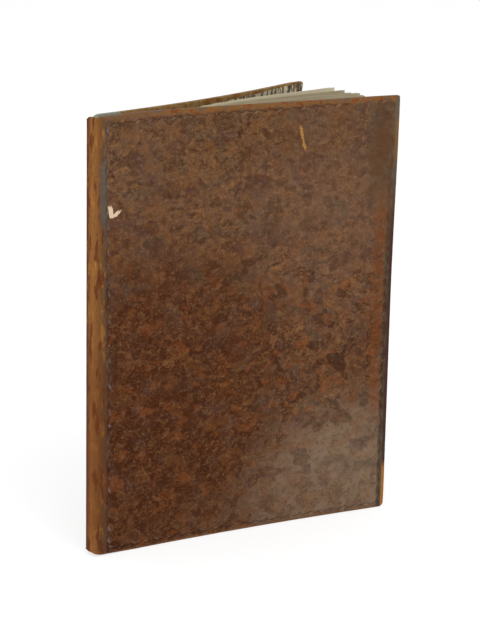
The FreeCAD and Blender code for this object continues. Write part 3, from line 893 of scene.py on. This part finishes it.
    # above the nick the tan stops short and the joint is dusty
    short = times(tree, front, step(tree, z, 149 * mm, 160 * mm), step(tree, z, 193 * mm, 180 * mm), 2.8 * mm)
    fromTan = plus(tree, fromSpine, short)
    onSpine = step(tree, plus(tree, fromTan, sway), 2.6 * mm, 1.4 * mm)
    colour = mix(tree, onSpine, colour, tan)
    jointLine = times(tree, step(tree, fromTan, 1.6 * mm, 2.6 * mm),
                      step(tree, fromSpine, 3.9 * mm, 3.1 * mm))
    bluish = cutNoise(tree, 0.42, 0.58, place, 12 * mm, 3.0, 0.6, 12.0)
    dusty = maths(tree, "MAXIMUM", times(tree, bluish, 0.55), times(tree, short, 0.25 / mm))
    colour = coat(tree, colour, "#5c5449", jointLine, dusty)

    # roll: pressed line darkened with painted shade, with painted highlights on its ridges
    patches = cutNoise(tree, 0.42, 0.60, place, 5 * mm, 3.0, 0.6, 25.0)
    colour = coat(tree, colour, "#26150f", rollShade, 0.75)
    highlightTone = mix(tree, step(tree, fromSpine, 4.5 * mm, 3.5 * mm), "#9c8068", "#988b93")
    colour = coat(tree, colour, highlightTone, rollHighlight, patches, 0.75)

    # rubbed edges
    tanEdge = ramp(tree, addNoise(tree, place, 4 * mm, 4.0, 0.65, 13.0),
                   [(0.32, "#522c1b"), (0.42, "#7c4822"), (0.50, "#8a592b"), (0.56, "#74583c"),
                    (0.64, "#645445")])
    mauve = times(tree, step(tree, s, 32 * mm, 18 * mm), front, step(tree, z, 150 * mm, 160 * mm), 0.55)
    tanEdge = mix(tree, mauve, tanEdge, "#69513f")
    bare = times(tree, step(tree, edging, 0.6, 0.1), step(tree, corner, 0.8, 0.3))
    colour = coat(tree, colour, tanEdge, rubbed, bare, 0.8)

    # turn-ins and the head edge of the rear cover, less dyed and more ochre
    turned = step(tree, parts.outputs[2], 1.2 * mm, 2.2 * mm)
    rearHead = times(tree, step(tree, u, -0.2 * mm, 0.2 * mm), step(tree, z, 196 * mm, 200 * mm), rubbed)
    ochre = ramp(tree, addNoise(tree, place, 7 * mm, 4.0, 0.6, 27.0),
                 [(0.36, "#6f4520"), (0.46, "#856030"), (0.55, "#93774a"), (0.64, "#7a5a2a")])
    colour = coat(tree, colour, ochre, maths(tree, "MAXIMUM", turned, rearHead), 0.85)

    # head of the spine and the joint behind it, gone grey-green and made paler with painted sheen
    greyGreen = mix(tree, addNoise(tree, place, 2.4 * mm, 3.0, 0.6), "#6f7465", "#9b9888")
    colour = coat(tree, colour, greyGreen, greyedAndSheen, 0.92)

    # two scars on the front cover: a scratch near the head and a torn nick by the joint
    wobble = shake(tree, 3 * mm, place, 3 * mm, 2.0)
    fromSide, middleHeight, slant = calf["scratch"]
    slope = times(tree, minus(tree, z, middleHeight * mm), slant)
    aside = minus(tree, minus(tree, s, fromSide * mm), plus(tree, slope, wobble))
    scratch = times(tree, step(tree, maths(tree, "ABSOLUTE", aside), 0.75 * mm, 0.45 * mm), front,
                    step(tree, z, 182 * mm, 184 * mm), step(tree, z, 195.5 * mm, 193 * mm))
    colour = coat(tree, colour, "#ab7c43", scratch, 0.85)
    for fromSide, start, slant, width, high in calf["nicks"]:
        rise = minus(tree, z, start * mm)
        line = plus(tree, times(tree, rise, slant), fromSide * mm)
        aside = minus(tree, s, line)
        aside = plus(tree, aside, times(tree, wobble, 0.4))
        nick = times(tree, step(tree, maths(tree, "ABSOLUTE", aside), width * mm, (width - 0.3) * mm), front,
                     step(tree, rise, 0, 0.5 * mm), step(tree, rise, high * mm, (high - 1.5) * mm))
        colour = mix(tree, nick, colour, "#d9bfa0")

    uneven = times(tree, minus(tree, fine, 0.5), 0.3)
    paint(tree, shader, colour, plus(tree, uneven, calf["roughness"]))
    shader.inputs["Specular IOR Level"].default_value = calf["shine"]
    grain = addNoise(tree, place, 0.8 * mm, 4.0, 0.65)
    pores = addNode(tree, "ShaderNodeTexVoronoi", Vector=place, Scale=1 / (0.9 * mm)).outputs["Distance"]
    height = plus(tree, times(tree, grain, 0.6), times(tree, pores, 0.4))
    bump(tree, shader, plus(tree, height, times(tree, fine, 0.7)), 0.45, 0.12 * mm)
    return material


def makeRagPaper():
    material, tree, shader = newMaterial("ragPaper")
    place = readAttribute(tree, "sheetPlace", "Vector")
    colour = mix(tree, cutNoise(tree, 0.35, 0.7, place, 25 * mm, 4.0, 0.6), "#d3c9ae", "#bbae8e")
    z, sheet = addNode(tree, "ShaderNodeSeparateXYZ", Vector=place).outputs[1:3]
    dusty = step(tree, z, 193 * mm, 204 * mm)
    colour = coat(tree, colour, "#9a8c6c", dusty, 0.35)
    turns = maths(tree, "SINE", times(tree, sheet, 21.0))
    colour = coat(tree, colour, "#97886a", step(tree, turns, -0.2, 0.9), 0.4)
    # painted light on the rearmost gathering, and painted shade on the front gatherings fading towards the
    # middle
    colour = coat(tree, colour, "#e0d6b8", step(tree, sheet, 1.52, 1.54), 0.6)
    colour = coat(tree, colour, "#a1937a", step(tree, sheet, 1.0, 0.4), 0.35)
    foxing = cutNoise(tree, 0.68, 0.78, place, 3 * mm, 3.0, 0.7, 2.0)
    colour = coat(tree, colour, "#96744a", foxing, 0.5)
    paint(tree, shader, colour, 0.85)
    fibres = addNoise(tree, stretch(tree, place, (1, 0.25, 1)), 0.6 * mm, 3.0, 0.6)
    bump(tree, shader, fibres, 0.25, 0.05 * mm)
    return material


def makeMarbledPaper():
    material, tree, shader = newMaterial("marbledPaper")
    place = readAttribute(tree, "sheetPlace", "Vector")
    drawn = stretch(tree, place, (1, 0.3, 1))
    flowing = warp(tree, warp(tree, drawn, 7 * mm, 6 * mm, 1.0), 2 * mm, 1.2 * mm, 2.0)
    veins = addNoise(tree, flowing, 3.4 * mm, 3.0, 0.5)
    colour = ramp(tree, veins, [(0.40, "#21180f"), (0.45, "#3c2a17"), (0.475, "#6f5b3a"), (0.495, "#b8ad8a"),
                                (0.56, "#c6bd9f"), (0.585, "#5a442c"), (0.62, "#2b2013"), (0.70, "#4a321b")])
    second = addNoise(tree, flowing, 5 * mm, 3.0, 0.5, 6.0)
    colour = coat(tree, colour, "#8f6c3d", curl(tree, second, 0.5, 0.02), 0.8)
    aged = cutNoise(tree, 0.45, 0.65, place, 14 * mm, 3.0)
    colour = coat(tree, colour, "#6e5a3a", aged, 0.3)
    paint(tree, shader, colour, 0.6)
    bump(tree, shader, addNoise(tree, place, 0.7 * mm, 3.0), 0.2, 0.05 * mm)
    return material


def makePlain(name, light, dark, size, drawOut=(1, 1, 1)):
    # board, lining, cord and thread
    material, tree, shader = newMaterial(name)
    place = addNode(tree, "ShaderNodeTexCoord").outputs["Object"]
    drawn = stretch(tree, place, drawOut)
    tone = addNoise(tree, drawn, size, 4.0, 0.7)
    colour = mix(tree, step(tree, tone, 0.4, 0.6), light, dark)
    stained = cutNoise(tree, 0.5, 0.7, place, size * 6, 3.0, 0.6, 3.0)
    colour = coat(tree, colour, "#5f4a2c", stained, 0.4)
    paint(tree, shader, colour, 0.9)
    bump(tree, shader, addNoise(tree, drawn, size * 0.4, 3.0), 0.4, 0.1 * mm)
    return material


def makeEndbandThread():
    # two colours of thread wound in turn along the band
    material, tree, shader = newMaterial("endbandThread")
    place = addNode(tree, "ShaderNodeTexCoord").outputs["Object"]
    turns = addNode(tree, "ShaderNodeTexWave", {"bands_direction": "Y"}, Vector=place,
                    Scale=0.31 / (0.9 * mm), Distortion=1.0)
    turns.inputs["Detail Scale"].default_value = 0.5 / mm
    colour = mix(tree, step(tree, turns.outputs["Fac"], 0.42, 0.58), "#b7a57c", "#5d6a55")
    grimy = cutNoise(tree, 0.5, 0.7, place, 1.2 * mm, 3.0)
    colour = coat(tree, colour, "#5b4a30", grimy, 0.5)
    paint(tree, shader, colour, 0.8)
    bump(tree, shader, addNoise(tree, place, 0.25 * mm, 2.0), 0.5, 0.08 * mm)
    return material


calfMaterial = makeCalf()
marbledPaper = makeMarbledPaper()
ragPaper = makeRagPaper()
pasteboard = makePlain("pasteboard", "#9b8763", "#6f5b3d", 2 * mm)
liningPaper = makePlain("liningPaper", "#b5a582", "#97855f", 1.5 * mm)
linen = makePlain("linenCord", "#ab9870", "#7d6742", 0.4 * mm, (1, 1, 2.5))
endbandThread = makeEndbandThread()
print("materials done")

for name in ("front", "rear"):
    makeSkin(name).data.materials.append(calfMaterial)
    makeBoard(name).data.materials.append(pasteboard)
    makePastedown(name).data.materials.append(marbledPaper)
    makeFreeEndpaper(name).data.materials.append(marbledPaper)
headCap = makeCap("headCap", True)
tailCap = makeCap("tailCap", False)
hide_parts("spine_leather")
for piece in (headCap, tailCap):
    piece.data.materials.append(calfMaterial)

chance = random.Random(leaves["seed"])
for number in range(len(leaves["tips"])):
    gathering = makeGathering(number, chance)
    gathering.data.materials.append(ragPaper)
    if number == 0:
        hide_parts("text_block")
print("leaves done")

finishes = {"board": pasteboard, "lining": liningPaper, "endband": endbandThread}
for nodeName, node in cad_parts.items():
    kind = nodeName.rsplit("_", 1)[-1]
    node.data.materials.clear()
    node.data.materials.append(finishes.get(kind, linen))


# stage
stage = {
    "floor": 4.0,
    "keyPower": 9.0,
    "fillPower": 3.0,
    "world": 0.72,
    "glow": 1.26,
    "whiteShare": 0.55,          # of the floor that the camera sees as plain white
}


def makeFloor():
    deselectAll()
    bpy.ops.mesh.primitive_plane_add(size=stage["floor"], location=(0, 0, -0.0002))
    floor = bpy.context.object
    floor.name = "paleFloor"
    material, tree, shader = newMaterial("paleFloor")
    shader.inputs["Base Color"].default_value = (0.9, 0.9, 0.9, 1)
    shader.inputs["Roughness"].default_value = 0.9
    glow = addNode(tree, "ShaderNodeEmission", Color=(1, 1, 1, 1), Strength=stage["glow"])
    ray = addNode(tree, "ShaderNodeLightPath")
    mixer = addNode(tree, "ShaderNodeMixShader")
    feed(tree, mixer.inputs[0], times(tree, ray.outputs["Is Camera Ray"], stage["whiteShare"]))
    feed(tree, mixer.inputs[1], shader.outputs[0])
    feed(tree, mixer.inputs[2], glow.outputs[0])
    feed(tree, tree.nodes["Material Output"].inputs["Surface"], mixer.outputs[0])
    floor.data.materials.append(material)


def makeLamp(name, place, power, size):
    deselectAll()
    bpy.ops.object.light_add(type="AREA", location=place)
    lamp = bpy.context.object
    lamp.name = name
    lamp.data.energy = power
    lamp.data.size = size
    aim = Vector((0.07, 0, 0.1)) - Vector(place)
    lamp.rotation_euler = aim.to_track_quat("-Z", "Y").to_euler()


def makeWorld():
    world = bpy.data.worlds.new("studio")
    bpy.context.scene.world = world
    world.use_nodes = True
    tree = world.node_tree
    background = tree.nodes["Background"]
    background.inputs["Color"].default_value = (1, 1, 1, 1)
    ray = addNode(tree, "ShaderNodeLightPath")
    strength = addNode(tree, "ShaderNodeMapRange", Value=ray.outputs["Is Camera Ray"])
    strength.inputs["To Min"].default_value = stage["world"]
    strength.inputs["To Max"].default_value = 1.0
    feed(tree, background.inputs["Strength"], strength.outputs[0])


camera = {
    "place": (-0.59410, -0.75470, 0.35572),
    "azimuth": math.radians(-42.134),
    "pitch": math.radians(13.921),
    "roll": math.radians(1.142),
    "focal": 2187.0,             # in pixels of the 480 by 619 picture
    "pictureHeight": 619,
    "sensor": 36.0,
}


def makeCamera():
    a, e, turn = camera["azimuth"], camera["pitch"], camera["roll"]
    forward = Vector((-math.sin(a) * math.cos(e), math.cos(a) * math.cos(e), -math.sin(e)))
    right = Vector((math.cos(a), math.sin(a), 0))
    up = right.cross(forward)
    turnedRight = math.cos(turn) * right + math.sin(turn) * up
    turnedUp = math.cos(turn) * up - math.sin(turn) * right
    data = bpy.data.cameras.new("camera")
    data.sensor_width = camera["sensor"]
    data.lens = camera["focal"] / camera["pictureHeight"] * camera["sensor"]
    data.clip_start = 0.01
    eye = bpy.data.objects.new("camera", data)
    bpy.context.scene.collection.objects.link(eye)
    matrix = Matrix((turnedRight, turnedUp, -forward)).transposed().to_4x4()
    matrix.translation = Vector(camera["place"])
    eye.matrix_world = matrix
    bpy.context.scene.camera = eye


makeFloor()
makeWorld()
makeLamp("keyLamp", (-0.3, -1.1, 1.3), stage["keyPower"], 0.9)
makeLamp("fillLamp", (-1.3, -0.2, 0.6), stage["fillPower"], 0.8)
makeCamera()
bpy.context.scene.view_settings.view_transform = "Standard"

print("scene done")
